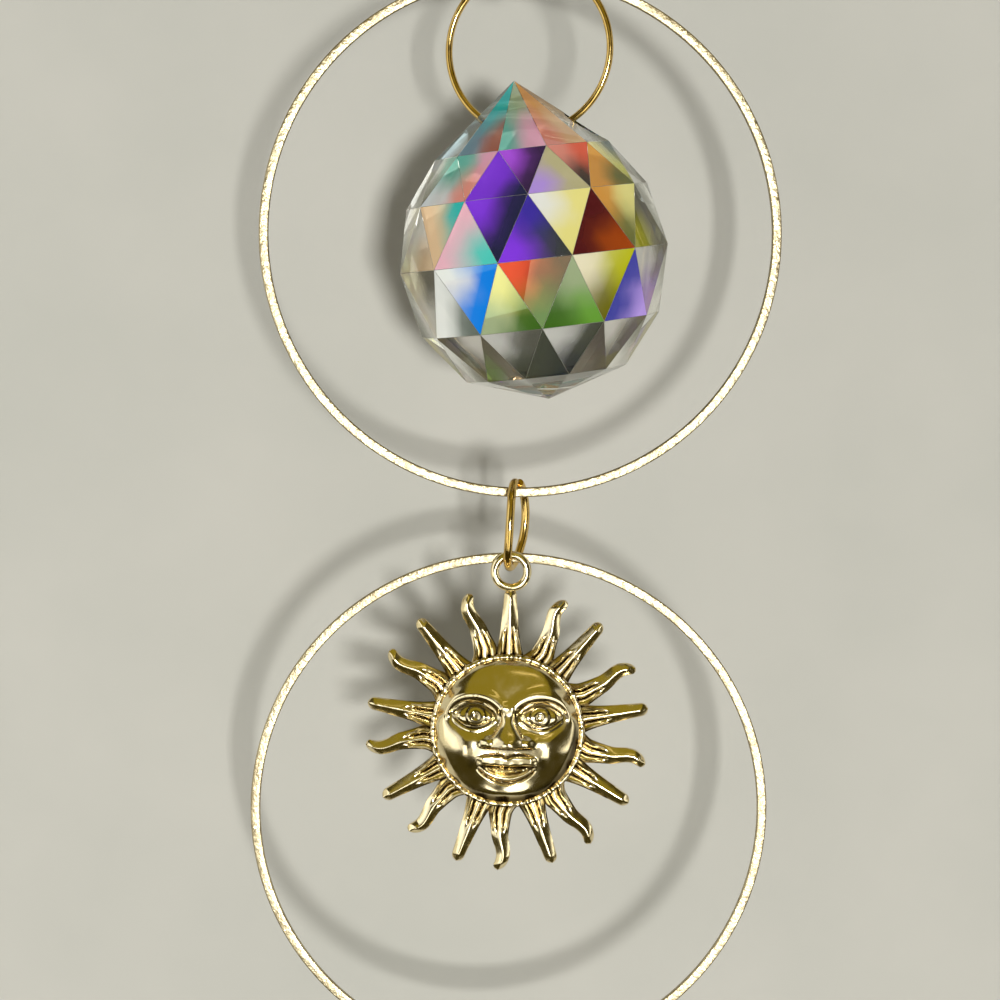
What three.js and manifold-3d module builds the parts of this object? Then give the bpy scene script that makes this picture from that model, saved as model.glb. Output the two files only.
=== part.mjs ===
// A hanging crystal suncatcher: two flat-wire brass hoops one below the other, a faceted
// crystal ball in the upper hoop and a stamped brass sun in the lower one.
// Millimetres, +Z up, the front faces -Y. The origin is the inner top of the top link,
// where the hook or cord that holds the suncatcher bears. Everything hangs plumb below it.

import * as THREE from 'three';
import { ConvexGeometry } from 'three/addons/geometries/ConvexGeometry.js';
import { mergeVertices } from 'three/addons/utils/BufferGeometryUtils.js';
import Module from 'manifold-3d';

const wasm = await Module();
wasm.setup();

// ---------------------------------------------------------------- driving dimensions

const TOUCH = 0.1; // play left where one curved wire hangs on another

// The hoops, rolled from flat wire with eased edges.
const HOOP_DIAMETER = 76.2;
const HOOP_FACE = 1.4;
const HOOP_DEPTH = 1.0;
const HOOP_EASE = 0.25;
const HOOP_SEGMENTS = 64;
const UPPER_HOOP_YAW = 4.7;
const LOWER_HOOP_YAW = 0.8;

// The two oval links, round wire bent to a slightly warped oval with a butt cut.
const LINK_WIRE = 1.25;
const LINK_OPENING_HEIGHT = 11.2;
const LINK_OPENING_WIDTH = 6.5;
const LINK_TURN = 17; // how far the oval is turned from square to the hoops
const LINK_WARP = 0.3;
const LINK_CUT_GAP = 0.2;
const LINK_CUT_STEP = 0.5; // the two cut ends stand this far out of line
const LINK_STEPS = 32;

// The round ring that carries the crystal, with its cut up beside the hoop.
const RING_DIAMETER = 25;
const RING_WIRE = 1.0;
const RING_OFFSET_X = 0.3;
const RING_YAW = -15;
const RING_CUT_ANGLE = 140; // up from +X
const RING_CUT_GAP = 0.2;
const RING_STEPS = 44;

const WIRE_SIDES = 8;

// The crystal ball: rings of twelve corners, each ring turned half a step from the next.
const BALL_RADIUS = 20;
const BALL_SIDES = 12;
const BALL_LEAN = -7.7; // about Y, the tip leans to -X
const BALL_NOD = 1.8; // about X, the tip leans to the front
const BALL_TIP = 1.285; // heights and radii are in ball radii
const BALL_FOOT = -1.03;
const BALL_RINGS = [
  { height: 0.775, radius: 0.65, turned: true },
  { height: 0.45, radius: 0.88, turned: false },
  { height: 0, radius: 1, turned: true },
  { height: -0.485, radius: 0.87, turned: false },
  { height: -0.835, radius: 0.6, turned: true },
];
const BALL_OFFSET_X = 1.7;
const BALL_CENTRE_DROP = 3.3; // the ball's middle lies this far below the hoop's
const BALL_PIVOT = 1.03; // the ball nods about its drilled nib, this high above its middle
const HOLE_DIAMETER = 3.7;
const HOLE_LENGTH = 30;
const HOLE_SIDES = 16;
const HOLE_HALF_SPAN = 7; // from the ring's middle line to where its wire enters the nib

// The sun charm. Its own frame has the rays' flat back at y = 0 and its face at the middle.
const SUN_OFFSET_X = -0.5;
const SUN_BEHIND_GAP = 0.12;
const FACE_RADIUS = 10.7;
const FACE_HEIGHT = 3.6;
const FACE_FULLNESS = 2.4; // 2 is a round dome, more is a fuller one
const FACE_WALL = 0.8;
const FACE_EDGE_STEP = 1.1; // the dome starts this far in front of the rays' back
const FACE_SEGMENTS = 36;
const BROW_WIRE = 0.8;
const RIM_RADIUS = 10.95;
const RIM_WIRE = 0.42;
const RAY_COUNT = 18;
const RAY_ROOT = 10.2;
const RAY_TIP = 20.9;
const RAY_TIP_HALF_WIDTH = 0.86;
const RAY_TAPER = 0.62; // how much wider half a ray is at its root, without the flare
const RAY_FLARE = 1.0;
const RAY_FLARE_LENGTH = 2.4;
const RAY_TIP_ROUND = 0.95;
const RAY_EDGE = 0.45; // heights of a ray's edge, middle ridge and side flutes
const RAY_RIDGE = 1.15;
const RAY_FLUTE = 0.95;
const RAY_FLUTE_END = 13.9; // where the flutes are half faded
const WAVE_OUT = 0.75; // a wavy ray leans clockwise, swings back, and turns up again at its tip
const WAVE_BACK = 0.55;
const WAVE_UP = 0.8;
const WAVE_BENDS = [12.6, 15.4, 18.6]; // where each of those three moves ends or turns
const EYE_RISE = 23.45; // the hanging eye's centre above the middle of the face
const EYE_DROP = 1.15; // and below the inner bottom of the middle link
const EYE_WIRE = 1.25;
const EYE_DIAMETER = 6.0;
const EYE_THICKNESS = 1.0;
const SUN_SMOOTHING = 0.06; // facets that differ by less than this are one

// ---------------------------------------------------------------- where things hang

const HOOP_RADIUS = HOOP_DIAMETER / 2;
const HOOP_INNER = HOOP_RADIUS - HOOP_FACE;
const UPPER_HOOP_Z = -(LINK_OPENING_HEIGHT - TOUCH) - HOOP_INNER;
const MIDDLE_LINK_TOP = UPPER_HOOP_Z - HOOP_INNER + TOUCH;
const LOWER_HOOP_Z = MIDDLE_LINK_TOP - LINK_OPENING_HEIGHT + TOUCH - HOOP_INNER;
const RING_RADIUS = (RING_DIAMETER - RING_WIRE) / 2;
const RING_Z = UPPER_HOOP_Z + HOOP_RADIUS + TOUCH + RING_WIRE / 2 - RING_RADIUS;
const EYE_Z = MIDDLE_LINK_TOP - LINK_OPENING_HEIGHT - EYE_DROP;
const SUN_Z = EYE_Z - EYE_RISE;
const SUN_Y = -(HOOP_DEPTH / 2 + SUN_BEHIND_GAP);

// ---------------------------------------------------------------- finishes

const FINISHES = {
  hoopBrass: { color: 0xdcc894, roughness: 0.35, metalness: 1 },
  wireBrass: { color: 0xb98f38, roughness: 0.2, metalness: 1 },
  sunBrass: { color: 0xb18a36, roughness: 0.18, metalness: 1 },
  crystal: { color: 0xe4ebef, roughness: 0.02, metalness: 0 },
};

const radians = THREE.MathUtils.degToRad;

// ---------------------------------------------------------------- solids and cuts

function toSolid(geometry) {
  const bare = geometry.clone();
  bare.deleteAttribute('normal');
  bare.deleteAttribute('uv');
  const welded = mergeVertices(bare, 1e-4);
  return new wasm.Manifold(new wasm.Mesh({
    numProp: 3,
    vertProperties: new Float32Array(welded.attributes.position.array),
    triVerts: new Uint32Array(welded.index.array),
  }));
}

function toGeometry(solid) {
  const mesh = solid.getMesh();
  const geometry = new THREE.BufferGeometry();
  geometry.setAttribute('position', new THREE.BufferAttribute(mesh.vertProperties, 3));
  geometry.setIndex(new THREE.BufferAttribute(mesh.triVerts, 1));
  geometry.computeVertexNormals();
  return geometry;
}

function joinAll(geometries) {
  return geometries.map(toSolid).reduce((whole, next) => whole.add(next));
}

function pieceOf(name, geometry, finish) {
  const mesh = new THREE.Mesh(geometry, new THREE.MeshStandardMaterial(FINISHES[finish]));
  mesh.name = name;
  return mesh;
}

// ---------------------------------------------------------------- hoops

// A hoop lies in the XZ plane: its section turns about the Y axis.
function hoop(name, z, yaw) {
  const front = -HOOP_DEPTH / 2;
  const back = HOOP_DEPTH / 2;
  const section = [
    [HOOP_RADIUS - HOOP_EASE, front],
    [HOOP_RADIUS, front + HOOP_EASE],
    [HOOP_RADIUS, back - HOOP_EASE],
    [HOOP_RADIUS - HOOP_EASE, back],
    [HOOP_INNER + HOOP_EASE, back],
    [HOOP_INNER, back - HOOP_EASE],
    [HOOP_INNER, front + HOOP_EASE],
    [HOOP_INNER + HOOP_EASE, front],
  ].map(([r, y]) => new THREE.Vector2(r, y));
  section.push(section[0].clone());
  const mesh = pieceOf(name, new THREE.LatheGeometry(section, HOOP_SEGMENTS), 'hoopBrass');
  mesh.position.z = z;
  mesh.rotation.z = radians(yaw);
  return mesh;
}

// ---------------------------------------------------------------- bent wire

// Round wire bent along an open loop, so that its two cut ends face each other.
function bentWire(path, wire, steps) {
  const section = new THREE.Shape().absarc(0, 0, wire / 2, 0, Math.PI * 2);
  return new THREE.ExtrudeGeometry(section, {
    steps,
    curveSegments: WIRE_SIDES / 2,
    bevelEnabled: false,
    extrudePath: path,
  });
}

// The oval runs from the top down the front strand and up the rear one. It is turned from
// square to the hoops, warped a little, and its two cut ends stand out of line.
class LinkPath extends THREE.Curve {
  constructor(cutAngle) {
    super();
    this.cutAngle = cutAngle;
    this.halfWidth = (LINK_OPENING_WIDTH + LINK_WIRE) / 2;
    this.halfHeight = (LINK_OPENING_HEIGHT + LINK_WIRE) / 2;
  }

  getPoint(share, target = new THREE.Vector3()) {
    const gapAngle = LINK_CUT_GAP / this.halfWidth;
    const travel = gapAngle / 2 + share * (Math.PI * 2 - gapAngle);
    const angle = radians(this.cutAngle) + travel;
    const across = -this.halfWidth * Math.sin(angle);
    const step = LINK_CUT_STEP * (share - 0.5) * Math.abs(share * 2 - 1) ** 3;
    const warp = LINK_WARP * (Math.cos(angle) - Math.cos(angle * 2));
    return target.set(
      across * Math.sin(radians(LINK_TURN)) + step + warp,
      across * Math.cos(radians(LINK_TURN)),
      this.halfHeight * Math.cos(angle),
    );
  }
}

function link(name, innerTop, cutAngle, x) {
  const geometry = bentWire(new LinkPath(cutAngle), LINK_WIRE, LINK_STEPS);
  const mesh = pieceOf(name, geometry, 'wireBrass');
  mesh.position.set(x, 0, innerTop - LINK_OPENING_HEIGHT / 2);
  return mesh;
}

class RingPath extends THREE.Curve {
  getPoint(share, target = new THREE.Vector3()) {
    const gapAngle = RING_CUT_GAP / RING_RADIUS;
    const travel = gapAngle / 2 + share * (Math.PI * 2 - gapAngle);
    const angle = radians(RING_CUT_ANGLE) + travel;
    return target.set(RING_RADIUS * Math.cos(angle), 0, RING_RADIUS * Math.sin(angle));
  }
}

function crystalRing() {
  const mesh = pieceOf('crystal_ring', bentWire(new RingPath(), RING_WIRE, RING_STEPS), 'wireBrass');
  mesh.position.set(RING_OFFSET_X, 0, RING_Z);
  mesh.rotation.z = radians(RING_YAW);
  return mesh;
}

// ---------------------------------------------------------------- crystal

function ballCorners() {
  const corners = [
    new THREE.Vector3(0, 0, BALL_TIP * BALL_RADIUS),
    new THREE.Vector3(0, 0, BALL_FOOT * BALL_RADIUS),
  ];
  for (const ring of BALL_RINGS) {
    for (let i = 0; i < BALL_SIDES; i += 1) {
      const angle = ((i + (ring.turned ? 0.5 : 0)) / BALL_SIDES) * Math.PI * 2;
      corners.push(new THREE.Vector3(
        Math.sin(angle) * ring.radius * BALL_RADIUS,
        -Math.cos(angle) * ring.radius * BALL_RADIUS,
        ring.height * BALL_RADIUS,
      ));
    }
  }
  return corners;
}

// The hole is drilled level through the nib, along the ring's plane. It is wide enough for
// the bow of the ring's wire between the two mouths.
function drill() {
  const mouthDrop = Math.sqrt(RING_RADIUS ** 2 - HOLE_HALF_SPAN ** 2);
  const bow = RING_RADIUS - mouthDrop;
  const geometry = new THREE.CylinderGeometry(
    HOLE_DIAMETER / 2, HOLE_DIAMETER / 2, HOLE_LENGTH, HOLE_SIDES);
  geometry.rotateZ(Math.PI / 2);
  geometry.rotateZ(radians(RING_YAW));
  geometry.translate(RING_OFFSET_X, 0, RING_Z - mouthDrop - bow / 2);
  return geometry;
}

function crystalBall() {
  const ball = new ConvexGeometry(ballCorners());
  const pose = new THREE.Matrix4().makeRotationX(radians(BALL_NOD));
  pose.multiply(new THREE.Matrix4().makeRotationY(radians(BALL_LEAN)));
  const centreZ = UPPER_HOOP_Z - BALL_CENTRE_DROP;
  const nodShift = BALL_PIVOT * BALL_RADIUS * Math.sin(radians(BALL_NOD));
  pose.setPosition(BALL_OFFSET_X, nodShift, centreZ);
  ball.applyMatrix4(pose);
  const cut = toSolid(ball).subtract(toSolid(drill()));
  return pieceOf('crystal_ball', toGeometry(cut), 'crystal');
}

// ---------------------------------------------------------------- sun charm

// Half the width of a ray at a distance from the middle of the face: flared at the root,
// nearly parallel beyond, and rounded at the tip.
function rayHalfWidth(distance) {
  const flare = RAY_FLARE * Math.exp(-(distance - RAY_ROOT) / RAY_FLARE_LENGTH);
  const taper = RAY_TAPER * ((RAY_TIP - distance) / (RAY_TIP - RAY_ROOT));
  const past = Math.max(0, distance - (RAY_TIP - RAY_TIP_ROUND)) / RAY_TIP_ROUND;
  const rounding = Math.sqrt(Math.max(0.04, 1 - past * past));
  return (RAY_TIP_HALF_WIDTH + taper + flare) * rounding;
}

// How far the middle of a wavy ray swings to the clockwise side.
function raySwing(distance) {
  const { smoothstep } = THREE.MathUtils;
  const [leanEnd, backStart, upStart] = WAVE_BENDS;
  const out = WAVE_OUT * smoothstep(distance, RAY_ROOT, leanEnd);
  const back = WAVE_BACK * smoothstep(distance, backStart, upStart);
  return out - back + WAVE_UP * smoothstep(distance, upStart, RAY_TIP);
}

// The front of a ray across its width: a middle ridge with a leaf-like flute on each side,
// which fades out along the ray. Across runs from -1 to 1.
function rayHeight(across, distance) {
  const side = Math.abs(across);
  const fade = 1 - THREE.MathUtils.smoothstep(distance, RAY_FLUTE_END - 1.3, RAY_FLUTE_END + 1.3);
  const ridge = RAY_EDGE + (RAY_RIDGE - RAY_EDGE) * Math.max(0, 1 - side * 1.25);
  const flute = RAY_FLUTE * fade * Math.max(0, 1 - Math.abs(side - 0.66) * 3.2);
  const tip = 1 - 0.45 * THREE.MathUtils.smoothstep(distance, RAY_TIP - 1.2, RAY_TIP);
  return Math.max(ridge * tip, flute, RAY_EDGE * tip);
}

function ray(index) {
  const wavy = index % 2 === 1;
  const geometry = new THREE.BoxGeometry(2, 1, 1, 6, 1, 7);
  const at = geometry.attributes.position;
  for (let i = 0; i < at.count; i += 1) {
    const share = at.getZ(i) + 0.5;
    const eased = Math.sin(share * Math.PI / 2) * 0.35 + share * 0.65;
    const distance = RAY_ROOT + (RAY_TIP - RAY_ROOT) * eased;
    const across = at.getX(i);
    const x = across * rayHalfWidth(distance) + (wavy ? raySwing(distance) : 0);
    const y = at.getY(i) < 0 ? -rayHeight(across, distance) : 0;
    at.setXYZ(i, x, y, distance);
  }
  geometry.rotateY((index / RAY_COUNT) * Math.PI * 2);
  return geometry;
}

function domeHeight(r) {
  const fall = Math.min(1, (r / FACE_RADIUS) ** FACE_FULLNESS);
  return FACE_EDGE_STEP + FACE_HEIGHT * Math.sqrt(1 - fall);
}

// A round body under the dome's outline: the face itself, and the hollow behind it.
function domeBody(inset, back) {
  const rings = 7;
  const profile = [];
  for (let i = 0; i <= rings; i += 1) {
    const r = (FACE_RADIUS - inset) * Math.sin((i / rings) * Math.PI / 2);
    const y = -(domeHeight(r * FACE_RADIUS / (FACE_RADIUS - inset)) - inset);
    profile.push(new THREE.Vector2(r, y));
  }
  profile.push(new THREE.Vector2(FACE_RADIUS - inset, back));
  profile.push(new THREE.Vector2(0, back));
  return new THREE.LatheGeometry(profile, FACE_SEGMENTS);
}

// A rounded swelling on the face, sunk so that its crest stands proud of the dome.
function swelling(x, z, halfWidth, halfHeight, proud) {
  const halfDepth = 1.2;
  const geometry = new THREE.SphereGeometry(1, 9, 6);
  geometry.scale(halfWidth, halfDepth, halfHeight);
  const surface = domeHeight(Math.hypot(x, z));
  geometry.translate(x, halfDepth - proud - surface, z);
  return geometry;
}

// A brow starts beside the nose, runs up it and arches over the eye.
function brow(side) {
  const stations = [[1.0, 0.4], [1.1, 3.4], [3.2, 5.2], [5.8, 5.2], [8.2, 3.0]];
  const points = stations.map(([x, z]) => {
    const surface = domeHeight(Math.hypot(x, z));
    return new THREE.Vector3(side * x, BROW_WIRE / 8 - surface, z);
  });
  return bentWire(new THREE.CatmullRomCurve3(points), BROW_WIRE, 8);
}

function faceFeatures() {
  const noseBridge = swelling(0, 0.9, 1.3, 3.0, 1.0);
  const noseTip = swelling(0.2, -1.1, 2.0, 1.1, 1.3);
  const aboveLip = swelling(0, -3.2, 3.6, 0.9, 0.4);
  const upperLip = swelling(0, -4.5, 3.9, 0.65, 0.8);
  const lowerLip = swelling(0, -6.2, 3.2, 0.9, 0.8);
  const chin = swelling(0, -8.7, 2.7, 1.2, 0.6);
  const features = [noseBridge, noseTip, aboveLip, upperLip, lowerLip, chin];
  for (const side of [-1, 1]) {
    const nostril = swelling(side * 2.5, -1.4, 1.1, 0.9, 0.7);
    const eyeball = swelling(side * 4.7, 2.6, 3.0, 1.4, 0.35);
    const iris = swelling(side * 4.6, 2.55, 1.0, 1.0, 0.75);
    const cheek = swelling(side * 5.6, -2.0, 2.6, 2.4, 0.45);
    features.push(nostril, eyeball, iris, cheek, brow(side));
  }
  return features;
}

// The rim stands round the dome and reaches back through the roots of the rays.
function rim() {
  const front = -FACE_EDGE_STEP - RIM_WIRE;
  const section = [
    [RIM_RADIUS - RIM_WIRE * 0.6, front],
    [RIM_RADIUS + RIM_WIRE * 0.6, front],
    [RIM_RADIUS + RIM_WIRE, front + RIM_WIRE],
    [RIM_RADIUS + RIM_WIRE, 0],
    [FACE_RADIUS - RIM_WIRE, 0],
    [FACE_RADIUS - RIM_WIRE, front + RIM_WIRE],
  ].map(([r, y]) => new THREE.Vector2(r, y));
  section.push(section[0].clone());
  return new THREE.LatheGeometry(section, FACE_SEGMENTS);
}

function hangingEye() {
  const geometry = new THREE.TorusGeometry((EYE_DIAMETER - EYE_WIRE) / 2, EYE_WIRE / 2, 8, 24);
  geometry.rotateX(Math.PI / 2);
  geometry.scale(1, EYE_THICKNESS / EYE_WIRE, 1);
  geometry.translate(0, -EYE_THICKNESS / 2, EYE_RISE);
  return geometry;
}

// Stamped in one piece: rays, rim, domed face and hanging eye, hollow behind the face.
function sunCharm() {
  const rays = Array.from({ length: RAY_COUNT }, (_, index) => ray(index));
  const whole = joinAll([domeBody(0, 0), ...rays, rim(), hangingEye(), ...faceFeatures()]);
  const hollow = toSolid(domeBody(FACE_WALL, 1));
  const stamped = whole.subtract(hollow).simplify(SUN_SMOOTHING);
  const mesh = pieceOf('sun_charm', toGeometry(stamped), 'sunBrass');
  mesh.position.set(SUN_OFFSET_X, SUN_Y, SUN_Z);
  return mesh;
}

// ---------------------------------------------------------------- the suncatcher

const suncatcher = new THREE.Group();
suncatcher.name = 'crystal_suncatcher';
suncatcher.add(link('top_link', 0, 270, 0));
suncatcher.add(hoop('upper_hoop', UPPER_HOOP_Z, UPPER_HOOP_YAW));
suncatcher.add(crystalRing());
suncatcher.add(crystalBall());
suncatcher.add(link('middle_link', MIDDLE_LINK_TOP, -8, 0));
suncatcher.add(hoop('lower_hoop', LOWER_HOOP_Z, LOWER_HOOP_YAW));
suncatcher.add(sunCharm());

export default suncatcher;
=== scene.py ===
"""A hanging crystal suncatcher: a cut crystal ball on its ring in an upper brass hoop, and a
stamped brass sun in a lower one, joined by a bent link. Sizes are in millimetres until a piece
is finished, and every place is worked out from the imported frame."""

import math

import bmesh
import bpy
import numpy as np
from mathutils import Matrix, Vector, noise


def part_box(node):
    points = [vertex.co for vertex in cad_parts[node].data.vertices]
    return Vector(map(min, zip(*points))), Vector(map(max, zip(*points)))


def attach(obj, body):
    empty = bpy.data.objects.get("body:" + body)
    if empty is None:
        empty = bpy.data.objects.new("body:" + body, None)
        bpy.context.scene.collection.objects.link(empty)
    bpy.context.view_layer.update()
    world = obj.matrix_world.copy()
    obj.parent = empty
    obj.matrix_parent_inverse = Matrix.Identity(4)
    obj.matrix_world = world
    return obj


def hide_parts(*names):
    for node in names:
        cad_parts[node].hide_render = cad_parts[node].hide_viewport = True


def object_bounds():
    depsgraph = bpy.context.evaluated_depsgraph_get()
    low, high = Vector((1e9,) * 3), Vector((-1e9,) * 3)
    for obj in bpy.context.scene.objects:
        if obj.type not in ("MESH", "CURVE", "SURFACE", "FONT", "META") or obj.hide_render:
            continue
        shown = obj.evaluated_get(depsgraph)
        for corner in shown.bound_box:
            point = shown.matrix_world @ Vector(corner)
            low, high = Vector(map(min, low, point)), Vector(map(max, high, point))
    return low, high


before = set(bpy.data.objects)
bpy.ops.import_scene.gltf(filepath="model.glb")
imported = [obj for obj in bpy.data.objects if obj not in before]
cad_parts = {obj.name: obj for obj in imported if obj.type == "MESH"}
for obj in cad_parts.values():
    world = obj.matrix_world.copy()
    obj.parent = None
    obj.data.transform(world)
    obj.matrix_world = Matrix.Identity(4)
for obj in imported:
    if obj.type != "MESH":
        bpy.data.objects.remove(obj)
CAD_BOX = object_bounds()
MM = 0.001

# ---------------------------------------------------------------- sizes

HOOP_RADIUS = 38.1
HOOP_FACE = 1.4
HOOP_DEPTH = 1.0
HOOP_EASE = 0.22
HOOP_STEPS = 240
HOOP_YAW = {"upper_hoop": 4.7, "lower_hoop": 0.8}

LINK_WIRE = 1.25
LINK_OPENING = (6.5, 11.2)
LINK_TURN = 17
LINK_WARP = 0.3
LINK_CUT_GAP = 0.2
LINK_CUT_STEP = 0.5
LINK_CUT_ANGLE = {"top_link": 270, "middle_link": -8}

RING_RADIUS = 12
RING_WIRE = 1.0
RING_YAW = -15
RING_CUT_ANGLE = 140
RING_CUT_GAP = 0.2

WIRE_STEPS = 160

BALL_RADIUS = 20
BALL_SIDES = 12
BALL_LEAN = -7.7
BALL_NOD = 1.8
BALL_TIP = 1.285
BALL_FOOT = -1.03
BALL_RINGS = [  # height and radius in ball radii, and whether the ring is turned half a step
    (0.775, 0.65, True),
    (0.45, 0.88, False),
    (0, 1, True),
    (-0.485, 0.87, False),
    (-0.835, 0.6, True),
]
BALL_EDGE = 0.03  # width of the polished arris along each edge
FACET_CUTS = 4  # how many times each facet is cut across, so that its tint can run
SAME_WAY = 0.9998  # cosine between a small face and the facet that it belongs to
HOLE_DIAMETER = 3.7
HOLE_LENGTH = 34
HOLE_HALF_SPAN = 7  # from the ring's middle line to where its wire enters the nib

FACE_RADIUS = 10.7
FACE_HEIGHT = 3.6
FACE_FULLNESS = 2.4
FACE_WALL = 0.8
FACE_EDGE_STEP = 1.1
FACE_RINGS = 104
FACE_STEPS = 320
FACE_EYE = (4.9, 2.6)  # the middle of an eye, across and up from the face's
FACE_EYE_HALF_WIDTH = 3.4
FACE_EYE_HALF_HEIGHT = 1.75
RIM_RADIUS = 10.95
RIM_WIRE = 0.42
RIM_STEPS = 288
RIM_BEADING = 0.22
RAY_COUNT = 18
RAY_ROOT = 10.2
RAY_TIP = 20.9
RAY_TIP_HALF_WIDTH = 0.86
RAY_TAPER = 0.62
RAY_FLARE = 1.0
RAY_FLARE_LENGTH = 2.4
RAY_TIP_ROUND = 0.95
RAY_EDGE = 0.45
RAY_RIDGE = 1.15
RAY_LEAF = 1.1
RAY_VALLEY = 0.6
RAY_GRID = (18, 56)  # points across a ray and along it
WAVE_OUT = 0.75  # a wavy ray leans clockwise, swings back, and turns up again at its tip
WAVE_BACK = 0.55
WAVE_UP = 0.8
WAVE_OUT_LENGTH = 2.4
WAVE_BACK_SPAN = (15.4, 18.6)
WAVE_UP_SPAN = (18.7, RAY_TIP + 0.4)
EYE_RISE = 23.45  # the hanging eye, from here on
EYE_WIRE = 1.25
EYE_DIAMETER = 6.0
EYE_THICKNESS = 1.0
EYE_HOLE_EASE = 0.04
EYE_STEPS = 96


# ---------------------------------------------------------------- small tools

def linear(hex_colour):
    """A colour written as RRGGBB in sRGB, as the linear RGBA that sockets take."""
    shares = [int(hex_colour[i : i + 2], 16) / 255 for i in (0, 2, 4)]
    return [s / 12.92 if s <= 0.04045 else ((s + 0.055) / 1.055) ** 2.4 for s in shares] + [1.0]


def smooth(value, start, end):
    """0 at start and before it, 1 from end on, with an eased way between."""
    share = np.clip((value - start) / (end - start), 0, 1)
    return share * share * (3 - 2 * share)


def turn(axis, degrees):
    return Matrix.Rotation(math.radians(degrees), 4, axis)


def box_middle(low, high):
    return (Vector(low) + Vector(high)) / 2


def finish_piece(bm, name, node, materials, soft_angle=None, by_back=False):
    """Makes a bmesh in millimetres a piece that stands for a CAD node, its box centred on the node's,
    or its back on the node's back where its front stands prouder than the node's."""
    corners = np.array([v.co for v in bm.verts])
    middle = box_middle(corners.min(0), corners.max(0))
    place = box_middle(*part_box(node))
    if by_back:
        middle.y = corners[:, 1].max()
        place.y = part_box(node)[1].y
    bm.transform(Matrix.Translation(place) @ Matrix.Scale(MM, 4) @ Matrix.Translation(-middle))
    if soft_angle:
        for face in bm.faces:
            face.smooth = True
        for edge in bm.edges:
            edge.smooth = edge.calc_face_angle(math.pi) < math.radians(soft_angle)
    mesh = bpy.data.meshes.new(name)
    bm.to_mesh(mesh)
    bm.free()
    for material in materials:
        mesh.materials.append(material)
    piece = bpy.data.objects.new(name, mesh)
    bpy.context.scene.collection.objects.link(piece)
    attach(piece, "root")
    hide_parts(node)
    return piece


def close_shape(bm):
    bmesh.ops.remove_doubles(bm, verts=bm.verts, dist=1e-4)
    bmesh.ops.recalc_face_normals(bm, faces=bm.faces)


def as_object(bm, name):
    mesh = bpy.data.meshes.new(name)
    bm.to_mesh(mesh)
    bm.free()
    made = bpy.data.objects.new(name, mesh)
    bpy.context.scene.collection.objects.link(made)
    return made


def combine(bm, others, operation):
    """Joins other closed shapes to a closed shape, or cuts them from it."""
    whole = as_object(bm, "whole")
    others = [as_object(other, "other") for other in others]
    for other in others:
        boolean = whole.modifiers.new("combine", "BOOLEAN")
        boolean.operation = operation
        boolean.solver = "MANIFOLD"
        boolean.object = other
    made = bmesh.new()
    made.from_mesh(whole.evaluated_get(bpy.context.evaluated_depsgraph_get()).to_mesh())
    for spent in [whole, *others]:
        bpy.data.objects.remove(spent)
    return made


# ---------------------------------------------------------------- camera

CAMERA_LENS = 86.06
CAMERA_DISTANCE = 350
CAMERA_TILT = 4.32  # looking down
CAMERA_ROLL = 1.32
CAMERA_AIM = (-2.36, -0.65, -1.86)  # from the middle of the whole suncatcher


def make_camera():
    data = bpy.data.cameras.new("camera")
    data.lens = CAMERA_LENS
    camera = bpy.data.objects.new("camera", data)
    tilt = math.radians(CAMERA_TILT)
    forward = Vector((0, math.cos(tilt), -math.sin(tilt)))
    aim = box_middle(*CAD_BOX) + Vector(CAMERA_AIM) * MM
    pose = forward.to_track_quat("-Z", "Y").to_matrix().to_4x4()
    camera.matrix_world = (Matrix.Translation(aim - forward * CAMERA_DISTANCE * MM)
                           @ pose @ turn("Z", CAMERA_ROLL))
    bpy.context.scene.collection.objects.link(camera)
    bpy.context.scene.camera = camera


# ---------------------------------------------------------------- materials

def add(material, kind, inputs=None, **settings):
    """Adds a node, sets its properties, and fills its inputs with values or other nodes' outputs."""
    tree = material.node_tree
    node = tree.nodes.new(kind)
    for name, value in settings.items():
        setattr(node, name, value)
    for name, value in (inputs or {}).items():
        if isinstance(value, bpy.types.NodeSocket):
            tree.links.new(value, node.inputs[name])
        else:
            node.inputs[name].default_value = value
    return node


def new_material(name, inputs_of):
    """A Principled material whose inputs are what inputs_of(material) gives."""
    material = bpy.data.materials.new(name)
    material.use_nodes = True
    material.node_tree.nodes.clear()
    shader = add(material, "ShaderNodeBsdfPrincipled", inputs_of(material))
    add(material, "ShaderNodeOutputMaterial", {"Surface": shader.outputs["BSDF"]})
    return material


def mottle(material, pitch, low, high, detail=3.0):
    """A cloudy value between low and high, with clouds about pitch millimetres across."""
    place = add(material, "ShaderNodeTexCoord").outputs["Object"]
    cloud = add(material, "ShaderNodeTexNoise",
                {"Vector": place, "Scale": 1 / (pitch * MM), "Detail": detail})
    return add(material, "ShaderNodeMapRange",
               {"Value": cloud.outputs["Fac"], "From Min": 0.3, "From Max": 0.7,
                "To Min": low, "To Max": high}).outputs["Result"]


def two_tones(material, share, first, second):
    mix = add(material, "ShaderNodeMix", {"Factor": share}, data_type="RGBA")
    sockets = [socket for socket in mix.inputs if socket.type == "RGBA"]
    for socket, tone in zip(sockets, (first, second)):
        socket.default_value = linear(tone)
    return next(socket for socket in mix.outputs if socket.type == "RGBA")


def bumped(material, height, depth_mm):
    return add(material, "ShaderNodeBump",
               {"Height": height, "Strength": 1.0, "Distance": depth_mm * MM}).outputs["Normal"]


def hoop_plate(material):
    # Pale gold plate over rolled brass: the rollers leave it satin, with a fine worn mottle.
    grain = mottle(material, 0.6, 0, 1, detail=5)
    wear = mottle(material, 3.5, 0, 1)
    return {
        "Base Color": two_tones(material, wear, "BEB392", "A6987A"),
        "Metallic": 1.0,
        "Roughness": mottle(material, 1.3, 0.3, 0.46),
        "Normal": bumped(material, grain, 0.06),
    }


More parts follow.
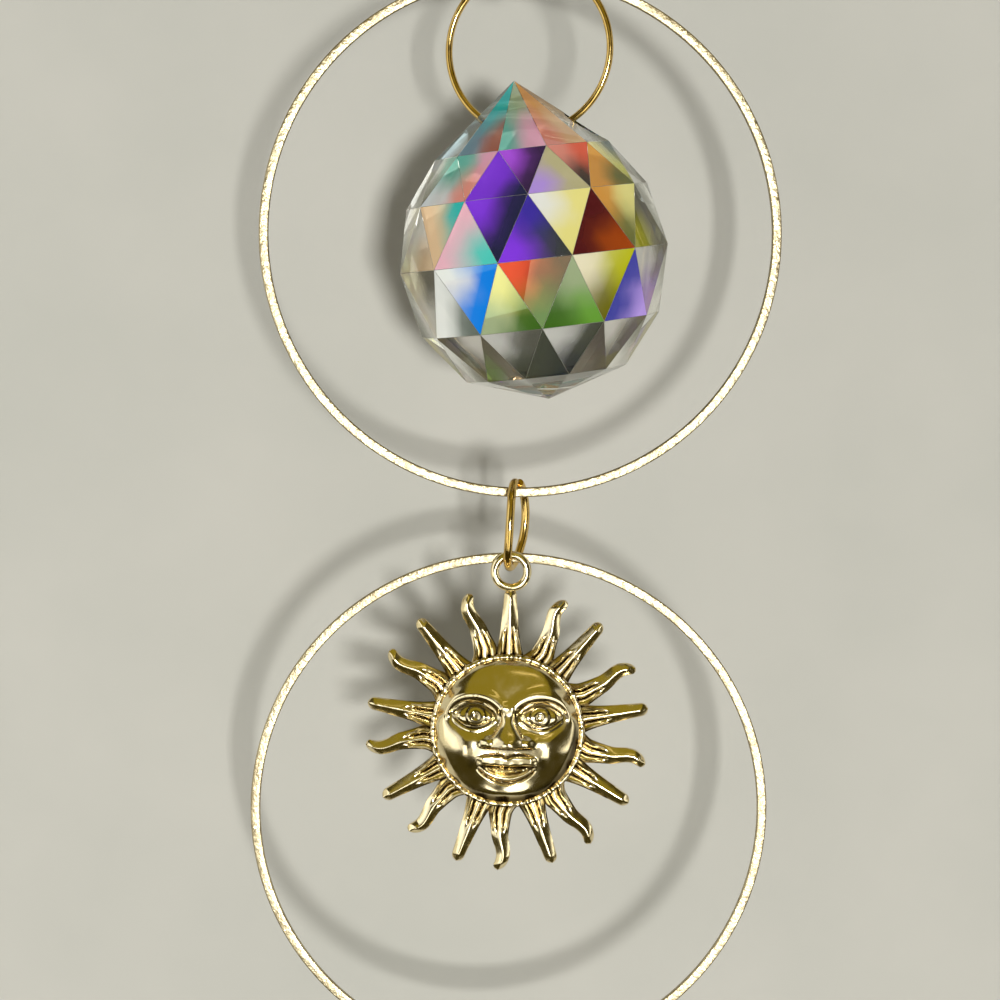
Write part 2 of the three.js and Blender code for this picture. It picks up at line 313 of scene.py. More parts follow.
def wire_plate(material):
    # Deep gold plate on drawn brass wire, polished, with faint draw marks.
    return {
        "Base Color": two_tones(material, mottle(material, 2.5, 0, 1), "E2C47E", "D0AC5E"),
        "Metallic": 1.0,
        "Roughness": mottle(material, 1.1, 0.1, 0.2),
        "Normal": bumped(material, mottle(material, 0.8, 0, 1), 0.006),
    }


def sun_plate(material):
    # Bright gold plate on stamped brass, golden to its edges. The dark tone is painted shade in its hollows
    # and drawn creases, and a painted dark reflection along the face's lower right edge.
    painted_shade = add(material, "ShaderNodeAttribute", attribute_name="painted_shade").outputs["Fac"]
    return {
        "Base Color": two_tones(material, painted_shade, "F8EAC2", "30220C"),
        "Metallic": 1.0,
        "Specular Tint": linear("C0A060"),
        "Roughness": mottle(material, 1.4, 0.12, 0.22),
        "Normal": bumped(material, mottle(material, 1.6, 0, 1), 0.01),
    }


def crystal_glass(material, transmission, film):
    """Glass in its facets' tints, which hold coat hues and painted reflections together, with a film so many
    nanometres thick.
    """
    tint = add(material, "ShaderNodeVertexColor", layer_name="facet_tint").outputs["Color"]
    return {
        "Base Color": tint,
        "Roughness": 0.0,
        "IOR": 1.52,
        "Transmission Weight": transmission,
        "Thin Film Thickness": film,
        "Thin Film IOR": 1.65,
    }


def clear_crystal(material):
    # Cut and polished crystal glass, quite clear.
    return crystal_glass(material, 1.0, 0.0)


def faint_coat_and_painted_reflections(material):
    # The edge of the iridescent coat, still see-through. Its milky and smoky tints are painted reflections
    # of the bright and dark things round it.
    return crystal_glass(material, 0.6, 320.0)


def coat_and_painted_reflections(material):
    # The same glass under the full iridescent coat. Each facet's tints are its coat's hue together with
    # painted reflections and refractions of what is round it.
    return crystal_glass(material, 0.22, 420.0)


# ---------------------------------------------------------------- hoops

def hoop(node):
    bm = bmesh.new()
    corners = [(HOOP_RADIUS - HOOP_FACE, -HOOP_DEPTH / 2), (HOOP_RADIUS, -HOOP_DEPTH / 2),
               (HOOP_RADIUS, HOOP_DEPTH / 2), (HOOP_RADIUS - HOOP_FACE, HOOP_DEPTH / 2)]
    section = bm.faces.new([bm.verts.new((x, y, 0)) for x, y in corners])
    bmesh.ops.bevel(bm, geom=list(section.verts), offset=HOOP_EASE, segments=3, profile=0.5,
                    affect="VERTICES", material=-1)
    bmesh.ops.delete(bm, geom=bm.faces[:], context="FACES_ONLY")
    bmesh.ops.spin(bm, geom=bm.verts[:] + bm.edges[:], axis=(0, 1, 0), angle=math.tau,
                   steps=HOOP_STEPS, use_merge=True)
    close_shape(bm)
    bm.transform(turn("Z", HOOP_YAW[node]))
    return finish_piece(bm, node + "_rolled", node, [HOOP_PLATE], soft_angle=40)


# ---------------------------------------------------------------- bent wires

def bend_wire(points, diameter):
    """A round wire along points, open at its cut, with flat cut faces."""
    curve = bpy.data.curves.new("wire", "CURVE")
    curve.dimensions = "3D"
    curve.bevel_depth = diameter / 2
    curve.bevel_resolution = 6
    curve.use_fill_caps = True
    line = curve.splines.new("POLY")
    line.points.add(len(points) - 1)
    for place, point in zip(line.points, points):
        place.co = (*point, 1)
    holder = bpy.data.objects.new("wire", curve)
    bpy.context.scene.collection.objects.link(holder)
    bm = bmesh.new()
    bm.from_mesh(holder.to_mesh())
    bpy.data.objects.remove(holder)
    bpy.data.curves.remove(curve)
    close_shape(bm)
    ends = [e for e in bm.edges if e.calc_face_angle(0) > math.radians(60)]
    bmesh.ops.bevel(bm, geom=ends, offset=0.06, segments=2, profile=0.5, affect="EDGES", material=-1)
    return bm


def link(node):
    """The oval runs from its cut down one strand and up the other, a little warped, its ends out of line."""
    half_width = (LINK_OPENING[0] + LINK_WIRE) / 2
    half_height = (LINK_OPENING[1] + LINK_WIRE) / 2
    gap = LINK_CUT_GAP / half_width
    cut, lean = math.radians(LINK_CUT_ANGLE[node]), math.radians(LINK_TURN)
    points = []
    for i in range(WIRE_STEPS + 1):
        share = i / WIRE_STEPS
        angle = cut + gap / 2 + share * (math.tau - gap)
        across = -half_width * math.sin(angle)
        step = LINK_CUT_STEP * (share - 0.5) * abs(share * 2 - 1) ** 3
        warp = LINK_WARP * (math.cos(angle) - math.cos(angle * 2))
        points.append((across * math.sin(lean) + step + warp, across * math.cos(lean),
                       half_height * math.cos(angle)))
    return finish_piece(bend_wire(points, LINK_WIRE), node + "_wire", node,
                        [WIRE_PLATE], soft_angle=40)


def crystal_ring():
    gap = RING_CUT_GAP / RING_RADIUS
    points = []
    for i in range(WIRE_STEPS + 1):
        angle = math.radians(RING_CUT_ANGLE) + gap / 2 + i / WIRE_STEPS * (math.tau - gap)
        points.append((RING_RADIUS * math.cos(angle), 0, RING_RADIUS * math.sin(angle)))
    bm = bend_wire(points, RING_WIRE)
    bm.transform(turn("Z", RING_YAW))
    return finish_piece(bm, "crystal_ring_wire", "crystal_ring", [WIRE_PLATE],
                        soft_angle=40)


# ---------------------------------------------------------------- crystal

TINTS = {
    "clear": "F2F5F4", "milk": "FFFFFA", "cream": "FFF6D2", "smoke": "6A6C62", "slate": "30373A",
    "sage": "A8B88E", "leaf": "68A436", "moss": "3E6A20", "olive": "6E6A0C",
    "lime": "C8C81C", "yellow": "FFF492", "amber": "F0A028", "rust": "B04A14", "coral": "FF5E3C",
    "salmon": "FF9A86", "maroon": "58141A", "umber": "38180E", "pink": "FFB0CC", "magenta": "C050FF",
    "violet": "8A30F6", "indigo": "3420A8", "navy": "120E48", "plum": "380A50",
    "azure": "0A8CFF", "teal": "14CCC4", "sea": "62BCA8", "lilac": "C8A0FF",
    "peach": "FFD2A0", "steel": "7496A6", "sand": "CEC494", "dusk": "4C5246",
}
TINT_SHARPNESS = 3  # how sharply the tints of a facet's corners part
TINT_DRIFT = 0.2  # how far the front between them wanders, as a share of the facet
TINT_DRIFT_SCALE = 0.3  # how often it wanders, to a millimetre
COATED_STEPS = 3  # how far round from the front the full coat reaches
BARE, FAINT_COAT, COATED = range(3)  # places in the crystal's list of materials

# Each band's facets by the middle of their angle from the front, in half steps of a side. The
# three names are the tints at its left, right and lone corner. They stand for the coat's hues
# together with what the cut glass mirrors and bends into each facet, seen from the front, and
# they are fixed to the facets, so they don't change with the direction of view.
NIB, UPPER, MIDDLE, LOWER, SKIRT = range(5)
FACET_TINTS = {
    (NIB, -4): ("steel", "slate", "steel"), (NIB, -2): ("steel", "rust", "teal"),
    (NIB, 0): ("sea", "pink", "sage"), (NIB, 2): ("salmon", "peach", "amber"),
    (NIB, 4): ("clear", "smoke", "amber"),
    (UPPER, -5): ("clear", "smoke", "milk"), (UPPER, -4): ("milk", "sea", "smoke"),
    (UPPER, -3): ("clear", "salmon", "sea"), (UPPER, -2): ("sea", "pink", "salmon"),
    (UPPER, -1): ("violet", "navy", "violet"), (UPPER, 0): ("magenta", "plum", "plum"),
    (UPPER, 1): ("lilac", "sand", "sand"), (UPPER, 2): ("salmon", "coral", "umber"),
    (UPPER, 3): ("amber", "olive", "amber"), (UPPER, 4): ("yellow", "steel", "lime"),
    (UPPER, 5): ("milk", "smoke", "clear"),
    (MIDDLE, -5): ("milk", "cream", "smoke"), (MIDDLE, -4): ("cream", "peach", "milk"),
    (MIDDLE, -3): ("peach", "teal", "peach"), (MIDDLE, -2): ("pink", "teal", "pink"),
    (MIDDLE, -1): ("violet", "navy", "navy"), (MIDDLE, 0): ("violet", "slate", "indigo"),
    (MIDDLE, 1): ("milk", "yellow", "yellow"), (MIDDLE, 2): ("maroon", "rust", "maroon"),
    (MIDDLE, 3): ("amber", "yellow", "olive"), (MIDDLE, 4): ("lime", "smoke", "slate"),
    (MIDDLE, 5): ("smoke", "milk", "smoke"),
    (LOWER, -5): ("slate", "milk", "smoke"), (LOWER, -4): ("cream", "slate", "milk"),
    (LOWER, -3): ("milk", "smoke", "milk"), (LOWER, -2): ("milk", "azure", "azure"),
    (LOWER, -1): ("sage", "moss", "yellow"), (LOWER, 0): ("coral", "maroon", "moss"),
    (LOWER, 1): ("moss", "leaf", "sage"), (LOWER, 2): ("cream", "lime", "olive"),
    (LOWER, 3): ("indigo", "lilac", "indigo"), (LOWER, 4): ("milk", "smoke", "lilac"),
    (LOWER, 5): ("milk", "milk", "smoke"),
    (SKIRT, -4): ("milk", "smoke", "clear"), (SKIRT, -3): ("dusk", "milk", "smoke"),
    (SKIRT, -2): ("moss", "smoke", "dusk"), (SKIRT, -1): ("milk", "smoke", "dusk"),
    (SKIRT, 0): ("dusk", "slate", "dusk"), (SKIRT, 1): ("milk", "dusk", "slate"),
    (SKIRT, 2): ("smoke", "dusk", "slate"), (SKIRT, 3): ("milk", "smoke", "dusk"),
    (SKIRT, 4): ("milk", "milk", "smoke"),
}


def ball_rings():
    """The ball's corners from tip to foot: lists of points, with half a step's turn where asked."""
    rings = [[Vector((0, 0, BALL_TIP * BALL_RADIUS))]]
    for height, radius, turned in BALL_RINGS:
        rings.append([
            turn("Z", (i + (0.5 if turned else 0)) * 360 / BALL_SIDES)
            @ Vector((0, -radius * BALL_RADIUS, height * BALL_RADIUS)) for i in range(BALL_SIDES)])
    return rings + [[Vector((0, 0, BALL_FOOT * BALL_RADIUS))]]


def facet_of(corners):
    """A facet's normal, its corners as left, right and lone one, and their three tints."""
    middle = sum(corners, Vector()) / 3
    heights = [ring[0].z for ring in ball_rings()]
    band = sum(middle.z < height for height in heights) - 1
    step = round(math.degrees(math.atan2(middle.x, -middle.y)) / (180 / BALL_SIDES))
    by_height = sorted(corners, key=lambda c: c.z)
    lone_below = by_height[1].z - by_height[0].z > by_height[2].z - by_height[1].z
    lone = by_height[0] if lone_below else by_height[2]
    across = Vector((-middle.y, middle.x, 0))
    left, right = sorted((c for c in corners if c is not lone), key=lambda c: (c - middle).dot(across))
    normal = (corners[1] - corners[0]).cross(corners[2] - corners[0]).normalized()
    names = FACET_TINTS.get((band, step))
    coat = BARE
    if names:
        coat = COATED if abs(step) <= COATED_STEPS and band != SKIRT else FAINT_COAT
    return {"normal": normal, "corners": (left, right, lone), "coat": coat,
            "tints": [linear(TINTS[name]) for name in names or ("clear",) * 3]}


def tint_at(point, facet):
    """The facet's tint at a point: its corners' tints run into each other along a soft, uneven front."""
    left, right, lone = facet["corners"]
    base, first, second = left, right - left, lone - left
    offset = point - base
    a, b, c = first.dot(first), first.dot(second), second.dot(second)
    d, e = offset.dot(first), offset.dot(second)
    scale = a * c - b * b
    shares = [0, (c * d - b * e) / scale, (a * e - b * d) / scale]
    shares[0] = 1 - shares[1] - shares[2]
    drift = TINT_DRIFT * noise.noise(point * TINT_DRIFT_SCALE)
    moved = [max(0, share + drift * way) for share, way in zip(shares, (1, -1, 0.5))]
    sharp = [share ** TINT_SHARPNESS for share in moved]
    total = sum(sharp) or 1
    return [sum(w * tint[i] for w, tint in zip(sharp, facet["tints"])) / total for i in range(3)] + [1]


def drill():
    """The hole through the nib, level and along the ring's plane, in the ball's hanging pose."""
    ring_low, ring_high = (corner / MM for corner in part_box("crystal_ring"))
    ring_middle = (ring_low + ring_high) / 2
    drop = (math.sqrt(RING_RADIUS ** 2 - HOLE_HALF_SPAN ** 2) + RING_RADIUS) / 2
    bm = bmesh.new()
    bmesh.ops.create_cone(bm, cap_ends=True, segments=48, radius1=HOLE_DIAMETER / 2,
                          radius2=HOLE_DIAMETER / 2, depth=HOLE_LENGTH)
    bm.transform(Matrix.Translation(ring_middle - Vector((0, 0, drop))) @ turn("Z", RING_YAW)
                 @ turn("Y", 90))
    return bm


def tint_facets(bm, facets, unposed):
    """Gives each small face its facet's coat and running tint, and leaves edges and hole bare."""
    tint = bm.loops.layers.float_color.new("facet_tint")
    clear = linear(TINTS["clear"])
    for face in bm.faces:
        face.normal_update()
        normal = (unposed.to_3x3() @ face.normal).normalized()
        facet = max(facets, key=lambda f: f["normal"].dot(normal))
        own = facet["normal"].dot(normal) > SAME_WAY
        face.material_index = facet["coat"] if own else BARE
        face.smooth = not own
        for loop in face.loops:
            loop[tint] = tint_at(unposed @ loop.vert.co, facet) if own else clear


def crystal_ball():
    bm = bmesh.new()
    for ring in ball_rings():
        for corner in ring:
            bm.verts.new(corner)
    bmesh.ops.convex_hull(bm, input=bm.verts)
    bmesh.ops.triangulate(bm, faces=bm.faces)
    close_shape(bm)
    facets = [facet_of([v.co.copy() for v in face.verts]) for face in bm.faces]
    bmesh.ops.bevel(bm, geom=bm.edges[:], offset=BALL_EDGE, segments=1, profile=0.5, affect="EDGES",
                    material=-1)
    pose = turn("X", BALL_NOD) @ turn("Y", BALL_LEAN)
    bm.transform(pose)
    corners = np.array([v.co for v in bm.verts])
    low, high = (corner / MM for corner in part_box("crystal_ball"))
    place = Matrix.Translation((low + high) / 2 - box_middle(corners.min(0), corners.max(0)))
    bm.transform(place)
    bm = combine(bm, [drill()], "DIFFERENCE")
    bmesh.ops.triangulate(bm, faces=bm.faces)
    bmesh.ops.subdivide_edges(bm, edges=bm.edges, cuts=FACET_CUTS, use_grid_fill=True)
    tint_facets(bm, facets, (place @ pose).inverted())
    return finish_piece(bm, "crystal_ball_cut", "crystal_ball",
                        [CLEAR_CRYSTAL, FAINT_COAT_AND_PAINTED_REFLECTIONS, COAT_AND_PAINTED_REFLECTIONS])


# ---------------------------------------------------------------- sun: rays, rim, eye

def ray_half_width(distance):
    flare = RAY_FLARE * np.exp(-(distance - RAY_ROOT) / RAY_FLARE_LENGTH)
    taper = RAY_TAPER * (RAY_TIP - distance) / (RAY_TIP - RAY_ROOT)
    past = np.maximum(0, distance - (RAY_TIP - RAY_TIP_ROUND)) / RAY_TIP_ROUND
    return (RAY_TIP_HALF_WIDTH + taper + flare) * np.sqrt(np.maximum(0.02, 1 - past * past))


def ray_swing(distance):
    """How far the middle of a wavy ray lies clockwise of its straight line."""
    out = WAVE_OUT * smooth(distance, RAY_ROOT, RAY_ROOT + WAVE_OUT_LENGTH)
    back = WAVE_BACK * smooth(distance, *WAVE_BACK_SPAN)
    return out - back + WAVE_UP * smooth(distance, *WAVE_UP_SPAN)


def ray_height(across, distance):
    """A ray's front: a rounded middle ridge, with a pointed leaf on each side at the root."""
    side = np.abs(across)
    body = RAY_EDGE + (RAY_RIDGE - RAY_EDGE) * np.clip(1 - side ** 1.3, 0, 1)
    leaf_width = 0.34 * (1 - smooth(distance, 12.2, 15.6)) + 0.01
    leaf = RAY_LEAF * np.clip(1 - (np.abs(side - 0.64) / leaf_width) ** 1.4, 0, 1) ** 0.7
    valley = RAY_VALLEY * np.exp(-((side - 0.32) / 0.11) ** 2) * (1 - smooth(distance, 13.4, 16.0))
    rounding = 1 - 0.5 * smooth(distance, RAY_TIP - 1.3, RAY_TIP)
    return np.maximum((body - valley) * rounding, leaf)


def ray(index):
    bm = bmesh.new()
    bmesh.ops.create_grid(bm, x_segments=RAY_GRID[0], y_segments=RAY_GRID[1], size=0.5)
    for vert in bm.verts:
        share = vert.co.y + 0.5
        distance = RAY_ROOT + (RAY_TIP - RAY_ROOT) * (math.sin(share * math.pi / 2) * 0.35 + share * 0.65)
        across = vert.co.x * 2
        x = across * ray_half_width(distance) + (ray_swing(distance) if index % 2 else 0)
        vert.co = (x, -ray_height(across, distance), distance)
    back = bmesh.ops.extrude_face_region(bm, geom=bm.faces[:])
    for part in back["geom"]:
        if isinstance(part, bmesh.types.BMVert):
            part.co.y = 0
    close_shape(bm)
    bm.transform(turn("Y", index * 360 / RAY_COUNT))
    return bm


def spun(profile, steps):
    """A closed ring or body of revolution about Y from (radius, y) pairs."""
    bm = bmesh.new()
    verts = [bm.verts.new((r, y, 0)) for r, y in profile]
    for first, second in zip(verts, verts[1:] + verts[:1]):
        if max(first.co.x, second.co.x) > 0:
            bm.edges.new((first, second))
    bmesh.ops.spin(bm, geom=bm.verts[:] + bm.edges[:], axis=(0, 1, 0), angle=math.tau, steps=steps,
                   use_merge=True)
    close_shape(bm)
    return bm


def rim():
    """The round wire-like rim about the face, unevenly beaded along its front."""
    front = -FACE_EDGE_STEP - RIM_WIRE
    arc = [(RIM_RADIUS + RIM_WIRE * math.cos(a), front + RIM_WIRE - RIM_WIRE * math.sin(a))
           for a in np.linspace(math.pi, 0, 9)]
    bm = spun(arc + [(RIM_RADIUS + RIM_WIRE, -0.02), (FACE_RADIUS - RIM_WIRE, -0.02),
                     (FACE_RADIUS - RIM_WIRE, front + RIM_WIRE)], RIM_STEPS)
    for vert in bm.verts:
        angle = math.atan2(vert.co.x, vert.co.z)
        bead = noise.noise(Vector((math.cos(angle), math.sin(angle), 0)) * 16)
        if vert.co.y < front + RIM_WIRE:
            vert.co.y -= RIM_BEADING * bead
            vert.co.x *= 1 + 0.008 * bead
            vert.co.z *= 1 + 0.008 * bead
    return bm


def hanging_eye():
    """A washer of an eye: a bevel round its hole, a low crown, and rounded outer edges."""
    outer = EYE_DIAMETER / 2
    inner = outer - EYE_WIRE + EYE_HOLE_EASE
    half = EYE_THICKNESS / 2
    front = [(inner, -0.06), (inner + 0.1, -0.26), (inner + 0.46, -half), (inner + 0.58, -half),
             (outer - 0.35, -0.4), (outer - 0.12, -0.26), (outer, 0)]
    back = [(outer - 0.14, 0.27), (outer - 0.42, 0.42), (inner + 0.34, 0.42), (inner + 0.06, 0.18)]
    bm = spun(front + back, EYE_STEPS)
    bm.transform(Matrix.Translation((0, -half, EYE_RISE)))
    return bm


# ---------------------------------------------------------------- sun: face

def dome(radius):
    """How far forward the plain dome stands, by its distance from the middle."""
    return FACE_EDGE_STEP + FACE_HEIGHT * np.sqrt(np.clip(1 - (radius / FACE_RADIUS) ** FACE_FULLNESS, 0, 1))


def mound(x, z, cx, cz, half_x, half_z, height, fullness=1.0):
    """A soft oval mound about (cx, cz), flatter on top the fuller it is."""
    spread = ((x - cx) / half_x) ** 2 + ((z - cz) / half_z) ** 2
    return height * np.exp(-spread ** fullness)


def stroke(x, z, points, half_width, height):
    """A raised or sunken stroke along a line of points, with a rounded section."""
    near = np.full(x.shape, 1e9)
    for (ax, az), (bx, bz) in zip(points, points[1:]):
        dx, dz = bx - ax, bz - az
        share = np.clip(((x - ax) * dx + (z - az) * dz) / (dx * dx + dz * dz), 0, 1)
        near = np.minimum(near, np.hypot(x - ax - share * dx, z - az - share * dz))
    return height * np.exp(-(near / half_width) ** 2)


def arch(cx, cz, half_x, half_z, start, end, count=17):
    """Points on an ellipse, by angles from +X towards +Z."""
    return [(cx + half_x * math.cos(math.radians(a)), cz + half_z * math.sin(math.radians(a)))
            for a in np.linspace(start, end, count)]


def eye_places(x, z, side):
    """Where a point lies by an eye: across and up from its middle, from its lids, and from its iris."""
    across, up = side * x - FACE_EYE[0], z - FACE_EYE[1]
    half_height = FACE_EYE_HALF_HEIGHT * np.clip(1 - (across / FACE_EYE_HALF_WIDTH) ** 2, 0, 1)
    return across, up, half_height, np.abs(up) - half_height, np.hypot(across + 0.25, up)


def eye_relief(x, z, side):
    """A socket under the brow's edge, and in it the lidded eye with its round iris and sunken pupil."""
    across, up, half_height, past_lid, from_iris = eye_places(x, z, side)
    reach = np.hypot(across / 3.9, (up + 0.2) / 2.75)
    upper = smooth(up, -0.9, 0.9)
    socket = upper * smooth(reach, 0.78, 1.06) + (1 - upper) * smooth(reach, 0.3, 1.25)
    ball = 0.85 * np.clip(1 - (np.abs(up) / np.maximum(half_height, 0.05)) ** 2, 0, 1)
    lid = 0.26 * np.exp(-((past_lid - 0.3) / 0.26) ** 2) * smooth(half_height, 0.05, 0.6)
    iris = 0.16 * (1 - smooth(from_iris, 1.25, 1.5)) - 0.3 * (1 - smooth(from_iris, 0.3, 0.7))
    return -0.75 * (1 - socket) + ball * smooth(half_height, 0, 1.2) + lid + iris * smooth(-past_lid, 0, 0.2)


def nose_relief(x, z):
    """A ridge that widens downwards, with a round tip and two wings, cut off level underneath."""
    half_width = 0.9 + 2.1 * (1 - smooth(z, -1.8, 2.4))
    rise = 0.35 + 1.3 * (1 - smooth(z, -1.4, 3.6))
    ridge = rise * np.sqrt(np.clip(1 - (x / half_width) ** 2, 0, 1))
    tip = mound(x, z, 0.3, -1.1, 1.5, 1.0, 0.55)
    wings = mound(x, z, -2.4, -1.2, 1.3, 0.95, 1.1, 1.3) + mound(x, z, 2.5, -1.2, 1.3, 0.95, 1.1, 1.3)
    return (np.maximum(ridge, wings) + tip) * smooth(z, -2.15, -1.7) * (1 - smooth(z, 3.4, 5.2))


def mouth_line(x):
    return -4.85 + 0.015 * x * x


def mouth_heights(x, z):
    """How far a point is above the mouth's line and above the upper and lower edges of the lower lip."""
    above = z - mouth_line(x)
    return above, above + 1.0 - 0.07 * x * x, above + 2.35 - 0.1 * x * x


def mouth_relief(x, z):
    """A bowed upper lip, a band under the mouth line, and a full lower lip, all turned up in a smile."""
    side = np.abs(x)
    width = 1 - smooth(side, 3.4, 4.6)
    top = -2.75 - 0.4 * np.exp(-(x / 0.6) ** 2) - 0.09 * np.maximum(side - 2, 0) ** 2
    above, above_lip, above_chin = mouth_heights(x, z)
    share = above / (top - mouth_line(x))
    upper = 0.8 * np.clip(1 - (2 * share - 1) ** 4, 0, 1)
    crinkle = 0.03 * np.sin(x * 4.4) * np.exp(-((share - 0.2) / 0.22) ** 2)
    out = upper + crinkle - 0.45 * np.exp(-(above / 0.2) ** 2)
    out += 0.34 * np.exp(-((above + 0.62 - 0.05 * x * x) / 0.24) ** 2)
    out -= 0.22 * np.exp(-(above_lip / 0.14) ** 2)
    out += 0.75 * np.exp(-(np.abs(above + 1.65 - 0.09 * x * x) / 0.5) ** 3)
    out -= 0.55 * np.exp(-(above_chin / 0.24) ** 2)
    return out * width


def face_relief(x, z):
    """How far the stamped face stands proud of the dome, by place."""
    out = nose_relief(x, z) + mouth_relief(x, z)
    for side in (-1, 1):
        out += eye_relief(x, z, side)
        brow = arch(side * FACE_EYE[0], 2.2, side * 4.6, 3.75, 12, 150)
        out += stroke(x, z, brow, 0.85, 0.5)
        out += mound(x, z, side * 5.8, -2.2, 2.6, 3.0, 0.9)
    out += mound(x, z, 0, -8.7, 3.0, 1.0, 0.6)
    return out * (1 - smooth(np.hypot(x, z), 9.3, 10.4))


def face_painted_shade(x, z):
    """How dark the face is, by place: painted shade along the drawn lines of the stamping, and a crescent
    along its lower right edge, a painted reflection of the dark part of the room that the dome mirrors."""
    above, above_lip, above_chin = mouth_heights(x, z)
    smile = 1 - smooth(np.abs(x), 3.9, 4.7)
    out = smile * np.exp(-(above / 0.14) ** 2)
    out = np.maximum(out, 0.5 * smile * np.exp(-(above_lip / 0.1) ** 2))
    out = np.maximum(out, 0.8 * smile * np.exp(-(above_chin / 0.16) ** 2))
    under_nose = [(-3.3, -1.95), (0, -2.15), (3.5, -1.95)]
    out = np.maximum(out, stroke(x, z, under_nose, 0.3, 1))
    for side in (-1, 1):
        across, up, half_height, past_lid, from_iris = eye_places(x, z, side)
        open_eye = smooth(-past_lid, -0.1, 0.1)
        lids = np.exp(-(past_lid / 0.15) ** 2) * smooth(half_height, 0, 0.3)
        rings = np.exp(-((from_iris - 1.45) / 0.14) ** 2) + np.exp(-((from_iris - 0.75) / 0.12) ** 2)
        out = np.maximum(out, np.maximum(lids, rings * open_eye))
        crease = arch(side * FACE_EYE[0], 2.3, side * 3.85, 2.9, 5, 170)
        out = np.maximum(out, stroke(x, z, crease, 0.26, 0.9))
        fold = [(side * 3.9, -1.3), (side * 4.7, -3.0), (side * 5.2, -4.6)]
        out = np.maximum(out, stroke(x, z, fold, 0.5, 0.35))
    crescent = 0.85 * smooth(np.hypot(x, z), 8.9, 10) * smooth(0.6 * x - z, 3, 7)
    return np.maximum(out, crescent)


def ray_painted_shade(x, z):
    """The same for the rays: painted shade down each valley beside the ridge and along the ray's edges by
    its root, fading outwards.
    """
    angle = np.arctan2(x, z)
    index = np.round(angle / math.tau * RAY_COUNT)
    off = angle - index * math.tau / RAY_COUNT
    reach = np.hypot(x, z)
    distance = reach * np.cos(off)
    across = reach * np.sin(off) - np.where(index % 2 == 1, ray_swing(distance), 0)
    side = np.abs(across) / np.maximum(ray_half_width(np.minimum(distance, RAY_TIP - 0.1)), 0.2)
    root = 1 - smooth(distance, 13.6, 16.4)
    valley = np.exp(-((side - 0.33) / 0.1) ** 2) * root
    return np.where(reach > RIM_RADIUS, np.maximum(valley, 0.8 * smooth(side, 0.84, 0.98) * root), 0)


# How sharply the sun's surface is hollowed sets how much painted shade lies there.
HOLLOW_LIMIT = 8  # the sharpest bend that counts, to a millimetre
HOLLOW_ROUNDS = 3  # of evening out between neighbours
HOLLOW_SPAN = (0.25, 1.6)  # bends where the painted shade starts to show, and where it is full


def hollow_shares(bm):
    """For each vertex, how sharply the surface around it is hollowed, from 0 to 1."""
    bm.verts.index_update()
    places = np.array([v.co for v in bm.verts])
    normals = np.array([v.normal for v in bm.verts])
    ends = np.array([[v.index for v in edge.verts] for edge in bm.edges])
    near, far = np.concatenate([ends, ends[:, ::-1]]).T
    step = places[far] - places[near]
    length = np.maximum(np.einsum("ij,ij->i", step, step), 1e-4)
    bend = np.clip(np.einsum("ij,ij->i", normals[near], step) / length, -HOLLOW_LIMIT, HOLLOW_LIMIT)
    count = np.bincount(near, minlength=len(places))
    hollow = np.bincount(near, bend, len(places)) / np.maximum(count, 1)
    for _ in range(HOLLOW_ROUNDS):
        hollow = (hollow + np.bincount(near, hollow[far], len(places)) / np.maximum(count, 1)) / 2
    return smooth(hollow, *HOLLOW_SPAN)


def face_body():
    """The hollow domed disc, pressed with the face from behind, so that its back shows it sunken."""
    radii = FACE_RADIUS * np.sin(np.linspace(0, 1, FACE_RINGS) * math.pi / 2)
    front = [(r, -dome(r)) for r in radii]
    inner = FACE_RADIUS - FACE_WALL
    back = [(r * inner / FACE_RADIUS, -(dome(r) - FACE_WALL)) for r in radii[::-2]]
    bm = spun(front + [(FACE_RADIUS, 0), (inner, 0)] + back, FACE_STEPS)
    places = np.array([v.co for v in bm.verts])
    relief = face_relief(places[:, 0], places[:, 2])
    for vert, rise in zip(bm.verts, relief):
        vert.co.y -= rise
    return bm


def sun_charm():
    bm = combine(face_body(), [rim(), hanging_eye()] + [ray(i) for i in range(RAY_COUNT)], "UNION")
    bmesh.ops.dissolve_degenerate(bm, dist=1e-3, edges=bm.edges)
    bmesh.ops.triangulate(bm, faces=[face for face in bm.faces if len(face.verts) > 4])
    bmesh.ops.recalc_face_normals(bm, faces=bm.faces)
    bm.normal_update()
    # The painted shade: hollows and drawn creases get the dark tone, and on the face a dark crescent is a
    # painted reflection of the dark room.
    painted_shade = bm.verts.layers.float.new("painted_shade")
    x, y, z = np.array([v.co for v in bm.verts]).T
    stamped = (np.hypot(x, z) < FACE_RADIUS - 0.3) & (y < -FACE_EDGE_STEP)
    drawn = np.where(stamped, face_painted_shade(x, z), ray_painted_shade(x, z))
    for vert, share in zip(bm.verts, np.maximum(hollow_shares(bm), drawn)):
        vert[painted_shade] = share
    return finish_piece(bm, "sun_charm_stamped", "sun_charm", [SUN_PLATE], soft_angle=50,
                        by_back=True)


# ---------------------------------------------------------------- stage

WALL_GAP = 37  # behind the hoops' plane
FLOOR_DROP = 280  # below the suncatcher's lowest point
WALL_REACH = 1500


def wall_paint(material):
    # Matt emulsion on plaster, rolled on a little unevenly.
    return {"Base Color": two_tones(material, mottle(material, 30, 0, 1), "BBBAB0", "C1BFB5"),
            "Roughness": 0.8}


def floor_paint(material):
    # Matt pale floor paint.
    return {"Base Color": linear("EFEDE4"), "Roughness": 0.8}


def sheet_of(name, corners, material):
    """A flat sheet of the stage. Only the wall shows in the metal's and the crystal's reflections."""
    bm = bmesh.new()
    bm.faces.new([bm.verts.new(Vector(c) * MM) for c in corners])
    mesh = bpy.data.meshes.new(name)
    bm.to_mesh(mesh)
    bm.free()
    mesh.materials.append(material)
    made = bpy.data.objects.new(name, mesh)
    bpy.context.scene.collection.objects.link(made)
    made.visible_glossy = name == "wall"


